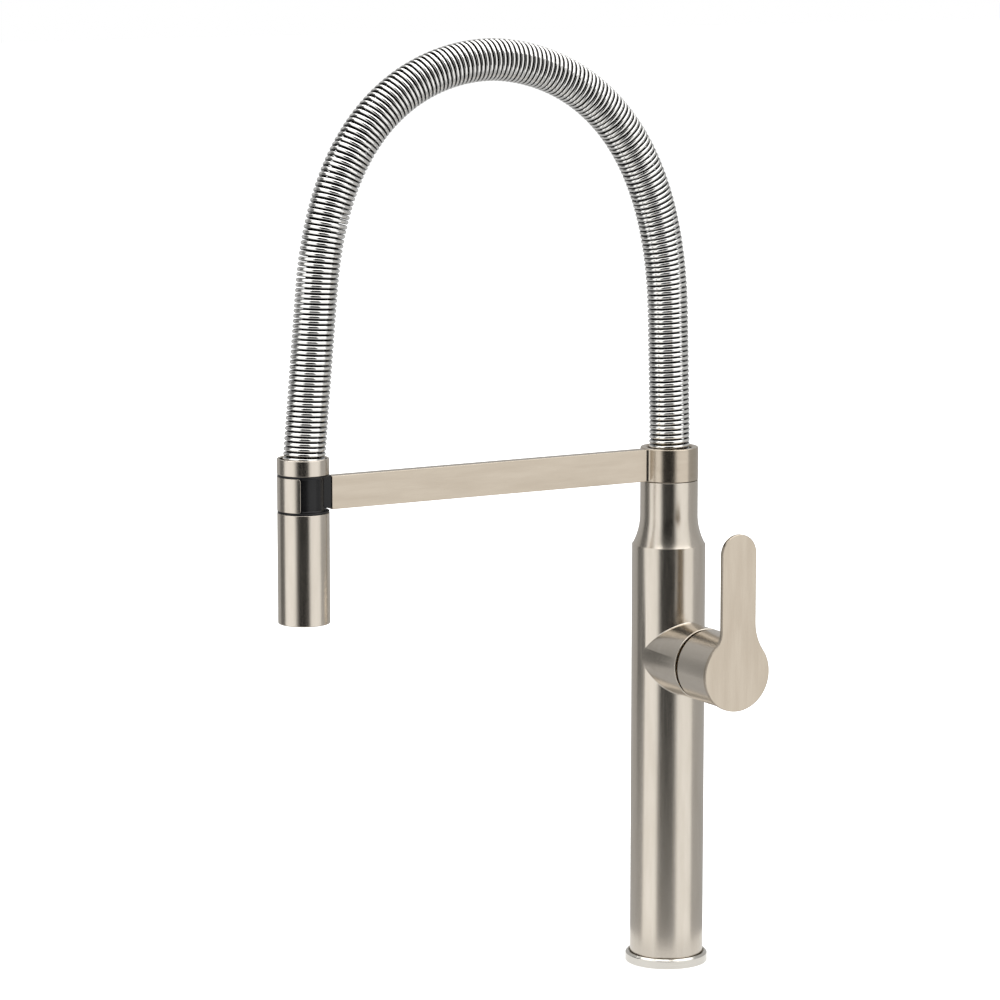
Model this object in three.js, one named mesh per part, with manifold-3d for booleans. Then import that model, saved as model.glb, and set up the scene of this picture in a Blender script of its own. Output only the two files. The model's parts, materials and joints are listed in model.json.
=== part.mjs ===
// A pull-down kitchen faucet: a tall column with a side lever, a flat arm that swivels on top of it,
// and a spray head that hangs from a coil spring and parks against the end of the arm.
// Millimetres, +Z up. The origin is the centre of the base on the sink deck.
// The arm reaches along -Y and the lever stands on the +X side.
import * as THREE from "three";
import { mergeVertices } from "three/addons/utils/BufferGeometryUtils.js";
import Module from "manifold-3d";

const wasm = await Module();
wasm.setup();

// ---- driving dimensions ----
const gap = 0.3; // clearance between pieces that only touch
const columnRadius = 22.5;
const columnBore = 19.5;
const columnFoot = 3.5; // the column stands on the ledge inside the base ring
const shoulderFoot = 261.5; // the crease where the shoulder starts
const shoulderTop = 279.7; // where the shoulder runs out into the neck
const shoulderArc = 38;
const neckRadius = 17.65;
const neckBore = 14.6;
const neckTop = 301;
const baseRadius = 25.3;
const baseHeight = 6;
const insertBore = 14;
const insertTop = 13.5;

const armBottom = 301.4;
const armTop = 321;
const collarTop = 321.4;
const armThickness = 7;
const armFillet = 3;
const reach = 250; // column axis to spray head axis
const armEnd = 233.1;
const dockBottom = 302.5;
const dockTop = 321.7;

const springRadius = 12.5;
const springBore = 9.7;
const springFoot = 316.5;
const hoseRadius = 7;
const hoseBore = 3.8;
const legFoot = 336; // the spring stands upright to here and then leans outwards a little
const nearLeg = { reach: 1.7, height: 402.6 };
const arch = { reach: 126, height: 558.7, rise: 158, lead: 5, tail: 22, drop: 121.5 };
const farLeg = { reach: 240.5, height: 429.4 }; // the spring hangs straight from here
const springEnd = { reach: 249.8, height: 326.6 };

const headRadius = 15.25;
const headFoot = 235.3;
const sleeveTop = 300.7;
const buttonBottom = 302.15;
const buttonTop = 322;
const headCollarFoot = 323.3;
const headCollarTop = 332.6;
const headNeckRadius = 11.9;
const buttonHalfAngle = THREE.MathUtils.degToRad(57);
const buttonSkin = 1.5;
const pistonHeight = 308;

const handleHeight = 193.4; // the lever's axis above the deck
const bossRadius = 22;
const bossEnd = 42.6;
const bossBore = 14;
const leverPivot = 54; // the lever tilts about this distance along its axis
const bowlRadius = 24.16; // hollow in the boss that the hub tilts into
const hubStart = 45;
const hubEnd = 75;
const hubBore = 19.5;
const hubWeb = 64.8;
const plateStart = 75.3;
const plateThickness = 2.6;
const plateRadius = 22.7;
const bladeHalfWidth = 12;
const bladeLength = 84.6;
const bladeOffset = 0.9; // the blade stands a little to the +Y side of the disc's centre
const bladeFillets = { left: 12.8, right: 30 }; // where the blade runs into the disc
const cartridgeRadius = 12.4;
const setScrew = { at: 71, radius: 1.9, inner: 3.4, outer: 9.4 };
const stemBar = { halfDepth: 2.8, halfWidth: 3, start: 50, end: 73 }; // the hub sits on this flat bar

const wide = 28; // facets round a large piece
const narrow = 16; // facets round a small piece

// ---- finishes ----
const brushedNickel = { color: 0xc6bcae, roughness: 0.32, metalness: 1 };
const polishedSteel = { color: 0xe2e0dc, roughness: 0.12, metalness: 1 };
const blackPlastic = { color: 0x17181a, roughness: 0.5, metalness: 0 };
const brass = { color: 0xb98f4c, roughness: 0.4, metalness: 1 };
const rubber = { color: 0x202022, roughness: 0.85, metalness: 0 };
const palePlastic = { color: 0xd8d6cf, roughness: 0.5, metalness: 0 };
const ceramic = { color: 0xefece4, roughness: 0.3, metalness: 0 };
const hoseSkin = { color: 0x3a3b3d, roughness: 0.7, metalness: 0 };

// ---- solids ----
// A closed geometry as a manifold solid with its faces pointing out.
function solid(geometry) {
  const bare = geometry.clone();
  bare.deleteAttribute("normal");
  bare.deleteAttribute("uv");
  const merged = mergeVertices(bare, 1e-4);
  const corners = Uint32Array.from(merged.index.array);
  const mesh = { numProp: 3, vertProperties: merged.attributes.position.array, triVerts: corners };
  const made = new wasm.Manifold(new wasm.Mesh(mesh));
  if (made.volume() > 0) return made;
  for (let i = 0; i < corners.length; i += 3) {
    [corners[i + 1], corners[i + 2]] = [corners[i + 2], corners[i + 1]];
  }
  return new wasm.Manifold(new wasm.Mesh(mesh));
}

function geometryOf(body) {
  const { vertProperties, triVerts } = body.getMesh();
  const geometry = new THREE.BufferGeometry();
  geometry.setAttribute("position", new THREE.BufferAttribute(vertProperties, 3));
  geometry.setIndex(new THREE.BufferAttribute(triVerts, 1));
  const faceted = geometry.toNonIndexed();
  faceted.computeVertexNormals();
  return faceted;
}

// A profile of [radius, height] points turned about the Z axis. It closes on itself,
// or starts and ends on the axis.
function turned(profile, facets = wide) {
  const points = profile.map(([radius, height]) => new THREE.Vector2(radius, height));
  const onAxis = profile[0][0] === 0;
  if (!onAxis) points.push(points[0].clone());
  return solid(new THREE.LatheGeometry(points, facets).rotateX(Math.PI / 2));
}

const rod = (radius, low, high, facets = narrow) =>
  turned([[0, low], [radius, low], [radius, high], [0, high]], facets);

const ring = (outer, inner, low, high, facets = wide) =>
  turned([[inner, low], [outer, low], [outer, high], [inner, high]], facets);

const oRing = (radius, thickness, height) => {
  const section = Array.from({ length: 6 }, (_, i) => {
    const angle = (i * Math.PI) / 3;
    return [radius + thickness * Math.cos(angle), height + thickness * Math.sin(angle)];
  });
  return turned(section, narrow);
};

const box = (x, y, z) =>
  solid(
    new THREE.BoxGeometry(x[1] - x[0], y[1] - y[0], z[1] - z[0]).translate(
      (x[0] + x[1]) / 2,
      (y[0] + y[1]) / 2,
      (z[0] + z[1]) / 2,
    ),
  );

// Points on an arc about (centreR, centreZ), from one angle to another in degrees.
function arcPoints(centreR, centreZ, radius, from, to, steps) {
  return Array.from({ length: steps + 1 }, (_, i) => {
    const angle = THREE.MathUtils.degToRad(from + ((to - from) * i) / steps);
    return [centreR + radius * Math.cos(angle), centreZ + radius * Math.sin(angle)];
  });
}

const alongX = (body) => body.rotate([0, 90, 0]); // +Z turns to +X
const alongY = (body) => body.rotate([-90, 0, 0]); // +Z turns to +Y
const cut = (body, ...tools) => tools.reduce((left, tool) => left.subtract(tool), body);

const assembly = new THREE.Group();
const sprayGroup = new THREE.Group();
sprayGroup.position.set(0, -reach, 0);
// Inside the handle group +Z runs outwards along the lever's axis and -X points up.
const handleGroup = new THREE.Group();
handleGroup.position.set(0, 0, handleHeight);
handleGroup.rotation.y = Math.PI / 2;
assembly.add(sprayGroup, handleGroup);

function place(name, body, finish, group = assembly) {
  const mesh = new THREE.Mesh(geometryOf(body), new THREE.MeshStandardMaterial(finish));
  mesh.name = name;
  group.add(mesh);
}

// ---- base and column ----
const grooveInner = 17.5;
const grooveOuter = 21.5;
const grooveDepth = 2;
const ledgeBore = 15;
const ledgeTop = columnFoot - gap;
const baseWellRadius = columnRadius + 0.8;

function baseRing() {
  return turned([
    [ledgeBore, 0],
    [grooveInner, 0],
    [grooveInner, grooveDepth],
    [grooveOuter, grooveDepth],
    [grooveOuter, 0],
    [baseRadius, 0],
    [baseRadius, baseHeight - 1],
    [baseRadius - 1, baseHeight],
    [baseWellRadius, baseHeight],
    [baseWellRadius, ledgeTop],
    [ledgeBore, ledgeTop],
  ]);
}

function bodyColumn() {
  const arcCentre = neckRadius + shoulderArc;
  const drop = Math.asin((shoulderTop - shoulderFoot) / shoulderArc);
  const startAngle = 180 + THREE.MathUtils.radToDeg(drop);
  const shell = turned([
    [columnBore, columnFoot],
    [columnRadius, columnFoot],
    [columnRadius, shoulderFoot],
    ...arcPoints(arcCentre, shoulderTop, shoulderArc, startAngle, 180, 6),
    [neckRadius, neckTop],
    [neckBore, neckTop],
    [neckBore, shoulderTop + 2],
    [columnBore, shoulderFoot],
  ]);
  const rimChamfer = 0.4;
  const boss = alongX(
    turned([
      [0, 0],
      [bossRadius, 0],
      [bossRadius, bossEnd - rimChamfer],
      [bossRadius - rimChamfer, bossEnd],
      [0, bossEnd],
    ]),
  ).translate([0, 0, handleHeight]);
  const cavity = rod(columnBore, columnFoot, shoulderFoot, wide);
  const bore = alongX(rod(bossBore, 0, bossEnd, wide)).translate([0, 0, handleHeight]);
  const bowl = solid(new THREE.SphereGeometry(bowlRadius, wide, 24).rotateZ(Math.PI / 2)).translate([
    leverPivot,
    0,
    handleHeight,
  ]);
  return cut(shell.add(cut(boss, cavity)), bore, bowl);
}

place("base_ring", baseRing(), brushedNickel);
const baseGasket = ring(grooveOuter - gap, grooveInner + 2 * gap, 0, grooveDepth - gap, narrow);
place("base_gasket", baseGasket, rubber);
place("base_insert", ring(columnBore - gap, insertBore, columnFoot, insertTop, narrow), brass);
place("body_column", bodyColumn(), brushedNickel);

// ---- water ways inside the column ----
const inlet = { x: -4, y: 7.5, radius: 4, top: 186 };
const outlet = { radius: 5, bottom: 200, top: 292 };
const port = { radius: 2.5, inletDrop: 6, outletRise: 8 };
const tubeWall = 1;
const valveFace = 27.6;
const valveBack = -13;
const valveRadius = 13.6;
const socketDepth = 20; // the tubes' sockets reach this far above and below the lever's axis

function valveBody() {
  const block = alongX(rod(valveRadius, valveBack, valveFace, wide)).translate([0, 0, handleHeight]);
  const socket = rod(inlet.radius + gap, handleHeight - socketDepth, inlet.top);
  const inletPort = alongX(rod(port.radius, inlet.x, valveFace + 1)).translate([
    0,
    0,
    handleHeight - port.inletDrop,
  ]);
  const outletSocket = rod(outlet.radius + gap, outlet.bottom, handleHeight + socketDepth);
  const outletPort = alongX(rod(port.radius, 0, valveFace + 1)).translate([
    0,
    0,
    handleHeight + port.outletRise,
  ]);
  const sides = [-1, 1].flatMap((side) => [
    socket.translate([inlet.x, side * inlet.y, 0]),
    inletPort.translate([0, side * inlet.y, 0]),
  ]);
  return cut(block, ...sides, outletSocket, outletPort);
}

place("valve_body", valveBody(), brass);
for (const [name, side] of [["hot_inlet_tube", 1], ["cold_inlet_tube", -1]]) {
  const tube = ring(inlet.radius, inlet.radius - tubeWall, columnFoot, inlet.top - gap, narrow);
  place(name, tube.translate([inlet.x, side * inlet.y, 0]), brass);
}
const outletTube = ring(
  outlet.radius,
  outlet.radius - tubeWall,
  outlet.bottom + gap,
  outlet.top - gap,
  narrow,
);
place("outlet_tube", outletTube, brass);

// ---- swivel on top of the column ----
const stemRadius = 9;
const stemBase = 286;
const stemTop = 316;
const stemBore = 3.8;
const sealHeights = [303.5, 308.5];
const sealGroove = { floor: 7.4, halfHeight: 0.9 };
const seal = { radius: 8.35, thickness: 0.75 };
const clip = { bottom: 312.8, top: 313.8, floor: 7.8, radius: 12, mouth: 5 };
const bushing = { neck: 11, flange: 12.6, top: 312.4 };
const collarLedge = 311;
const seatLedge = 314.2;
const bushingBore = stemRadius + gap;
const collarHole = { foot: 11.3, ledge: 12.9, seat: 13.6, mouth: 14.4, chamfer: 0.8 };
const tenon = { halfWidth: 1.3, bottom: 306.8, top: 316.2, tip: 225.4 }; // fixes the dock in the arm

function swivelStem() {
  const grooves = sealHeights.flatMap((height) => [
    [stemRadius, height - sealGroove.halfHeight],
    [sealGroove.floor, height - sealGroove.halfHeight],
    [sealGroove.floor, height + sealGroove.halfHeight],
    [stemRadius, height + sealGroove.halfHeight],
  ]);
  return turned([
    [outlet.radius + gap, stemBase],
    [neckBore - gap, stemBase],
    [neckBore - gap, neckTop],
    [stemRadius, neckTop],
    ...grooves,
    [stemRadius, clip.bottom],
    [clip.floor, clip.bottom],
    [clip.floor, clip.top],
    [stemRadius, clip.top],
    [stemRadius, stemTop],
    [stemBore, stemTop],
    [stemBore, outlet.top],
    [outlet.radius + gap, outlet.top],
  ], narrow);
}

function retainingRing() {
  const full = ring(clip.radius, clip.floor + gap, clip.bottom + 0.1, clip.top - 0.1, narrow);
  const side = clip.mouth / 2;
  const mouth = box([-side, side], [0, clip.radius + 1], [clip.bottom - 1, clip.top + 1]);
  return cut(full, mouth);
}

function swivelBushing() {
  return turned([
    [bushingBore, armBottom + gap],
    [bushing.neck, armBottom + gap],
    [bushing.neck, collarLedge + 0.2],
    [bushing.flange, collarLedge + 0.2],
    [bushing.flange, bushing.top],
    [bushingBore, bushing.top],
  ], narrow);
}

// The collar and the flat bar are one piece, with a small fillet where they meet.
function swivelArm() {
  const collar = turned([
    [collarHole.foot, armBottom],
    [neckRadius, armBottom],
    [neckRadius, collarTop - 0.5],
    [neckRadius - 0.5, collarTop],
    [collarHole.mouth, collarTop],
    [collarHole.seat, collarTop - collarHole.chamfer],
    [collarHole.seat, seatLedge],
    [collarHole.ledge, seatLedge],
    [collarHole.ledge, collarLedge],
    [collarHole.foot, collarLedge],
  ]);
  const root = { x: 4.7, y: 14.5 }; // the bar starts inside the collar's wall
  const half = armThickness / 2;
  const filletX = half + armFillet;
  const filletY = Math.sqrt((neckRadius + armFillet) ** 2 - filletX ** 2);
  const touch = Math.atan2(filletY, filletX);
  const outline = new THREE.Shape();
  outline.moveTo(-root.x, root.y);
  outline.lineTo(root.x, root.y);
  outline.absarc(filletX, filletY, armFillet, touch + Math.PI, Math.PI, true);
  outline.lineTo(half, armEnd);
  outline.lineTo(-half, armEnd);
  outline.absarc(-filletX, filletY, armFillet, 0, -touch, true);
  outline.closePath();
  const bar = new THREE.ExtrudeGeometry(outline, {
    depth: armTop - armBottom,
    bevelEnabled: false,
    curveSegments: 6,
  });
  const pocket = box(
    [-tenon.halfWidth - gap, tenon.halfWidth + gap],
    [-armEnd - 1, -tenon.tip + gap],
    [tenon.bottom - gap, tenon.top + gap],
  );
  return cut(collar.add(solid(bar).rotate([0, 0, 180]).translate([0, 0, armBottom])), pocket);
}

place("swivel_stem", swivelStem(), brass);
sealHeights.forEach((height, i) => {
  place(["lower_o_ring", "upper_o_ring"][i], oRing(seal.radius, seal.thickness, height), rubber);
});
place("retaining_ring", retainingRing(), polishedSteel);
place("swivel_bushing", swivelBushing(), palePlastic);
place("swivel_arm", swivelArm(), brushedNickel);
const springSeat = ring(collarHole.seat - gap, bushingBore, seatLedge + gap, springFoot - gap, narrow);
place("spring_seat", springSeat, palePlastic);

// ---- dock at the arm's end ----
const neckFillet = 1.3;
const neckLow = buttonBottom - 0.2; // top face of the spray head's lower flange
const neckHigh = buttonTop + 0.15; // underside of its upper flange
const magnet = { radius: 2.4, back: 234.1, front: 237.1, height: 312 };
const dockDepth = 10; // the dock stops this far short of the spray head's axis

// The waist of the spray head between its two flanges, or a hollow that clears it all round.
function waistOutline(clearance = 0) {
  const centre = headNeckRadius + neckFillet;
  const radius = neckFillet - clearance;
  return [
    ...arcPoints(centre, neckLow + neckFillet, radius, 270, 180, 3),
    ...arcPoints(centre, neckHigh - neckFillet, radius, 180, 90, 3),
  ];
}

function dockBlock() {
  const half = armThickness / 2;
  const block = box([-half, half], [-reach + dockDepth, -armEnd - gap], [dockBottom, dockTop]);
  const tongue = box(
    [-tenon.halfWidth, tenon.halfWidth],
    [-armEnd - 1, -tenon.tip],
    [tenon.bottom, tenon.top],
  );
  const waist = turned([[0, neckLow + gap], ...waistOutline(gap), [0, neckHigh - gap]]);
  const pocket = alongY(rod(magnet.radius + gap, -reach, -magnet.back + gap));
  const tools = [waist.translate([0, -reach, 0]), pocket.translate([0, 0, magnet.height])];
  return cut(block.add(tongue), ...tools);
}

place("dock_block", dockBlock(), blackPlastic);
const magnetRod = alongY(rod(magnet.radius, -magnet.front, -magnet.back));
place("dock_magnet", magnetRod.translate([0, 0, magnet.height]), polishedSteel);

// ---- support spring and the hose inside it ----
const inPlane = (outwards, height) => new THREE.Vector3(0, -outwards, height);

// The centreline: up from the collar, leaning out a little, over the arch, and down to the head.
function springLine(foot, end) {
  const slope = (farLeg.height - springEnd.height) / (springEnd.reach - farLeg.reach);
  const drop = arch.drop / Math.hypot(1, slope);
  const endAt = farLeg.reach + (farLeg.height - end) / slope;
  const lean = nearLeg.reach / (nearLeg.height - legFoot);
  const rise = arch.rise / Math.hypot(1, lean);
  const line = new THREE.CurvePath();
  line.add(new THREE.LineCurve3(inPlane(0, foot), inPlane(0, legFoot)));
  line.add(new THREE.LineCurve3(inPlane(0, legFoot), inPlane(nearLeg.reach, nearLeg.height)));
  line.add(
    new THREE.CubicBezierCurve3(
      inPlane(nearLeg.reach, nearLeg.height),
      inPlane(nearLeg.reach + rise * lean, nearLeg.height + rise),
      inPlane(arch.reach - arch.lead, arch.height),
      inPlane(arch.reach, arch.height),
    ),
  );
  line.add(
    new THREE.CubicBezierCurve3(
      inPlane(arch.reach, arch.height),
      inPlane(arch.reach + arch.tail, arch.height),
      inPlane(farLeg.reach - drop, farLeg.height + drop * slope),
      inPlane(farLeg.reach, farLeg.height),
    ),
  );
  line.add(new THREE.LineCurve3(inPlane(farLeg.reach, farLeg.height), inPlane(endAt, end)));
  return line;
}

function bentTube(outer, inner, path, sides, steps) {
  const section = new THREE.Shape();
  section.absarc(0, 0, outer, 0, 2 * Math.PI, false);
  const hole = new THREE.Path();
  hole.absarc(0, 0, inner, 0, 2 * Math.PI, true);
  section.holes.push(hole);
  const sweep = { steps, extrudePath: path, bevelEnabled: false, curveSegments: sides / 2 };
  return solid(new THREE.ExtrudeGeometry(section, sweep));
}

const springSweep = { sides: 10, steps: 34 };
const hoseSweep = { sides: 8, steps: 28 };
const lowerFitting = { bottom: stemTop + gap, shoulder: 324, tip: 333, radius: 8.6 };
const nipple = { radius: 3.4, bore: 2.6 }; // the hose is pushed over it
const hoseTop = 334.2;

function supportSpring() {
  const line = springLine(springFoot, springEnd.height);
  return bentTube(springRadius, springBore, line, springSweep.sides, springSweep.steps);
}

function innerHose() {
  const line = springLine(lowerFitting.shoulder + gap, hoseTop);
  return bentTube(hoseRadius, hoseBore, line, hoseSweep.sides, hoseSweep.steps);
}

function lowerHoseFitting() {
  return turned([
    [nipple.bore, lowerFitting.bottom],
    [lowerFitting.radius, lowerFitting.bottom],
    [lowerFitting.radius, lowerFitting.shoulder],
    [nipple.radius, lowerFitting.shoulder],
    [nipple.radius, lowerFitting.tip],
    [nipple.bore, lowerFitting.tip],
  ], narrow);
}

place("support_spring", supportSpring(), polishedSteel);
place("inner_hose", innerHose(), hoseSkin);
place("lower_hose_fitting", lowerHoseFitting(), brass);

// ---- spray head ----
const coreFoot = 252;
const coreWall = 13.5;
const coreBore = 10.5;
const sleeveBore = 13.9;
const fittingSocket = { radius: 6.5, bottom: 312 };
const upperFitting = { radius: 6.2, flange: 8.2, top: 332.9 };
const waterWay = { radius: 4, foot: 296 };
const headWeb = 325;
const headHole = { web: 6.6, bore: 13.9, mouth: 14.5, chamfer: 0.7 };
const strike = { half: 3, back: 9.4, front: 11.5, bottom: 306, top: 318 };
const pistonBore = { radius: 3.4, end: 5.6 };
const sprayWays = { foot: headFoot + 0.7, top: 239.2 }; // the black spray face

function headCollar() {
  return turned([
    [headHole.web, headCollarFoot],
    [headRadius - 0.3, headCollarFoot],
    [headRadius, headCollarFoot + 0.3],
    [headRadius, headCollarTop - 0.5],
    [headRadius - 0.5, headCollarTop],
    [headHole.mouth, headCollarTop],
    [headHole.bore, headCollarTop - headHole.chamfer],
    [headHole.bore, headWeb],
    [headHole.web, headWeb],
  ]);
}

function upperHoseFitting() {
  return turned([
    [nipple.bore, fittingSocket.bottom + gap],
    [upperFitting.radius, fittingSocket.bottom + gap],
    [upperFitting.radius, headWeb + gap],
    [upperFitting.flange, headWeb + gap],
    [upperFitting.flange, upperFitting.top],
    [nipple.bore, upperFitting.top],
  ], narrow);
}

function headCore() {
  const flange = headRadius - 0.15;
  const lowFlange = sleeveTop + 0.15;
  const profile = turned([
    [coreBore, coreFoot],
    [coreWall, coreFoot],
    [coreWall, lowFlange],
    [flange, lowFlange],
    [flange, neckLow],
    ...waistOutline(),
    [flange, neckHigh],
    [flange, headCollarFoot - 0.15],
    [fittingSocket.radius, headCollarFoot - 0.15],
    [fittingSocket.radius, fittingSocket.bottom],
    [waterWay.radius, fittingSocket.bottom],
    [waterWay.radius, waterWay.foot],
    [coreBore, waterWay.foot],
  ]);
  const bore = alongY(rod(pistonBore.radius, -headRadius, pistonBore.end));
  const strikePocket = box(
    [-strike.half - gap, strike.half + gap],
    [strike.back - gap, headRadius - 2],
    [strike.bottom - gap, strike.top + gap],
  );
  return cut(profile, bore.translate([0, 0, pistonHeight]), strikePocket);
}

function sprayButton() {
  const outline = new THREE.Shape();
  const from = -Math.PI / 2 - buttonHalfAngle;
  const to = -Math.PI / 2 + buttonHalfAngle;
  outline.absarc(0, 0, headRadius, from, to, false);
  outline.absarc(0, 0, headRadius - buttonSkin, to, from, true);
  outline.closePath();
  const shell = { depth: buttonTop - buttonBottom, bevelEnabled: false, curveSegments: 18 };
  return solid(new THREE.ExtrudeGeometry(outline, shell)).translate([0, 0, buttonBottom]);
}

function headSleeve() {
  return turned([
    [sleeveBore, headFoot + 0.3],
    [headRadius - 0.6, headFoot],
    [headRadius - 0.2, headFoot + 0.2],
    [headRadius, headFoot + 0.6],
    [headRadius, sleeveTop - 0.3],
    [headRadius - 0.3, sleeveTop],
    [sleeveBore, sleeveTop],
  ]);
}

function strikePlate() {
  return box([-strike.half, strike.half], [strike.back, strike.front], [strike.bottom, strike.top]);
}

// The button pushes the piston inwards, against a spring at the bore's closed end.
function diverterPiston() {
  const outerEnd = -headRadius + buttonSkin + gap;
  return alongY(rod(pistonBore.radius - 0.4, outerEnd, 0)).translate([0, 0, pistonHeight]);
}

function buttonSpring() {
  const coil = ring(2.8, 1.4, gap, pistonBore.end - gap, narrow);
  return alongY(coil).translate([0, 0, pistonHeight]);
}

place("head_collar", headCollar(), brushedNickel, sprayGroup);
place("upper_hose_fitting", upperHoseFitting(), brass, sprayGroup);
place("head_core", headCore(), blackPlastic, sprayGroup);
place("strike_plate", strikePlate(), polishedSteel, sprayGroup);
place("check_valve", ring(waterWay.radius - gap, 2.2, 297, 303, narrow), palePlastic, sprayGroup);
place("spray_button", sprayButton(), brushedNickel, sprayGroup);
place("diverter_piston", diverterPiston(), palePlastic, sprayGroup);
place("button_spring", buttonSpring(), polishedSteel, sprayGroup);
place("head_sleeve", headSleeve(), brushedNickel, sprayGroup);
place("water_guide", ring(coreWall, 9.2, 240.6, coreFoot - gap, narrow), palePlastic, sprayGroup);
place("aerator", ring(8.6, 1.5, headFoot + 1, 250, narrow), palePlastic, sprayGroup);
place("spray_face", ring(13.6, 9, sprayWays.foot, sprayWays.top, narrow), blackPlastic, sprayGroup);
place("face_seal", ring(13.4, 11, sprayWays.top + gap, 240.3, narrow), rubber, sprayGroup);

// ---- mixing cartridge, built along the lever's axis ----
const housingFoot = 29.2;
const housingTop = 59;
const housing = { flange: 13.3, flangeTop: 31.6, bore: 10.6, mouth: 7, lip: 1.1 };
const discFace = 33;
const portRadius = 2.3;
const sliderBall = leverPivot - 9.5; // the stem's ball that pushes the moving disc

// The three ports lie in the same places through the gasket, the housing's floor and the fixed disc.
function withPorts(body, low, high) {
  const way = rod(portRadius, low - 1, high + 1, 10);
  return cut(
    body,
    way.translate([port.inletDrop, inlet.y, 0]),
    way.translate([port.inletDrop, -inlet.y, 0]),
    way.translate([-port.outletRise + 1, 0, 0]),
  );
}

function cartridgeHousing() {
  const shell = turned([
    [0, housingFoot],
    [housing.flange, housingFoot],
    [housing.flange, housing.flangeTop],
    [cartridgeRadius, housing.flangeTop],
    [cartridgeRadius, housingTop],
    [housing.mouth, housingTop],
    [housing.mouth, housingTop - housing.lip],
    [housing.bore, housingTop - housing.lip],
    [housing.bore, discFace],
    [0, discFace],
  ], narrow);
  return withPorts(shell, housingFoot, discFace);
}

function leverTurret() {
  const slot = box([-6.2, 6.2], [-3.4, 3.4], [46, 59]);
  const pinHole = alongY(rod(1.7, -12, 12)).translate([0, 0, leverPivot]);
  return cut(rod(10.3, 47, 57.6), slot, pinHole);
}

function leverStem() {
  const ball = solid(new THREE.SphereGeometry(2.7, 16, 10)).translate([0, 0, sliderBall]);
  const shank = rod(2, sliderBall, stemBar.start + 1);
  const bar = box(
    [-stemBar.halfDepth, stemBar.halfDepth],
    [-stemBar.halfWidth, stemBar.halfWidth],
    [stemBar.start, stemBar.end],
  );
  const pinHole = alongY(rod(1.75, -6, 6)).translate([0, 0, leverPivot]);
  return cut(ball.add(shank).add(bar), pinHole);
}

function handleHub() {
  const rim = 0.65;
  const hub = turned([
    [0, hubWeb],
    [hubBore, hubWeb],
    [hubBore, hubStart],
    [bossRadius - rim, hubStart],
    [bossRadius, hubStart + rim],
    [bossRadius, hubEnd],
    [0, hubEnd],
  ]);
  const socket = box(
    [-stemBar.halfDepth - gap, stemBar.halfDepth + gap],
    [-stemBar.halfWidth - gap, stemBar.halfWidth + gap],
    [hubWeb - 1, stemBar.end + 0.4],
  );
  const screwHole = alongX(rod(setScrew.radius + gap, 2, bossRadius + 2)).translate([0, 0, setScrew.at]);
  return cut(hub, socket, screwHole);
}

// One flat plate: a disc over the hub that runs out into a blade with a round tip.
function leverPlate() {
  const [right, left] = [[1, bladeFillets.right], [-1, bladeFillets.left]].map(([side, radius]) => {
    const x = side * (bladeHalfWidth + radius) + bladeOffset;
    const y = Math.sqrt((plateRadius + radius) ** 2 - x ** 2);
    return { x, y, radius, touch: Math.atan2(y, x) };
  });
  const outline = new THREE.Shape();
  outline.absarc(0, 0, plateRadius, left.touch, right.touch + 2 * Math.PI, false);
  outline.absarc(right.x, right.y, right.radius, right.touch + Math.PI, Math.PI, true);
  outline.absarc(bladeOffset, bladeLength - bladeHalfWidth, bladeHalfWidth, 0, Math.PI, false);
  outline.absarc(left.x, left.y, left.radius, 0, left.touch - Math.PI, true);
  outline.closePath();
  const plate = { depth: plateThickness, bevelEnabled: false, curveSegments: 16 };
  const flat = new THREE.ExtrudeGeometry(outline, plate).rotateZ(Math.PI / 2);
  return solid(flat).translate([0, 0, plateStart]);
}

const gasket = withPorts(rod(12, valveFace + gap, housingFoot - gap), valveFace, housingFoot);
place("cartridge_seal", gasket, rubber, handleGroup);
place("cartridge_housing", cartridgeHousing(), palePlastic, handleGroup);
place("cartridge_nut", ring(13.7, 12.8, 31.9, 36, narrow), brass, handleGroup);
place("fixed_disc", withPorts(rod(10.2, discFace + gap, 36), discFace, 36), ceramic, handleGroup);
place("moving_disc", rod(6, 36.2, 38.8), ceramic, handleGroup);
const carrier = cut(rod(5.8, 39.1, 46.3), rod(3.4, 41.4, 47));
place("disc_carrier", carrier, palePlastic, handleGroup);
place("lever_turret", leverTurret(), palePlastic, handleGroup);
const pivotPin = alongY(rod(1.5, -9, 9)).translate([0, 0, leverPivot]);
place("pivot_pin", pivotPin, polishedSteel, handleGroup);

// ---- lever ----
place("lever_stem", leverStem(), brass, handleGroup);
place("handle_hub", handleHub(), brushedNickel, handleGroup);
place("lever_plate", leverPlate(), brushedNickel, handleGroup);
const grubScrew = alongX(rod(setScrew.radius, setScrew.inner, setScrew.outer));
place("set_screw", grubScrew.translate([0, 0, setScrew.at]), polishedSteel, handleGroup);

export default assembly;
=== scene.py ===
import json
import math
import bmesh
import bpy
from mathutils import Matrix, Vector


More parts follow.
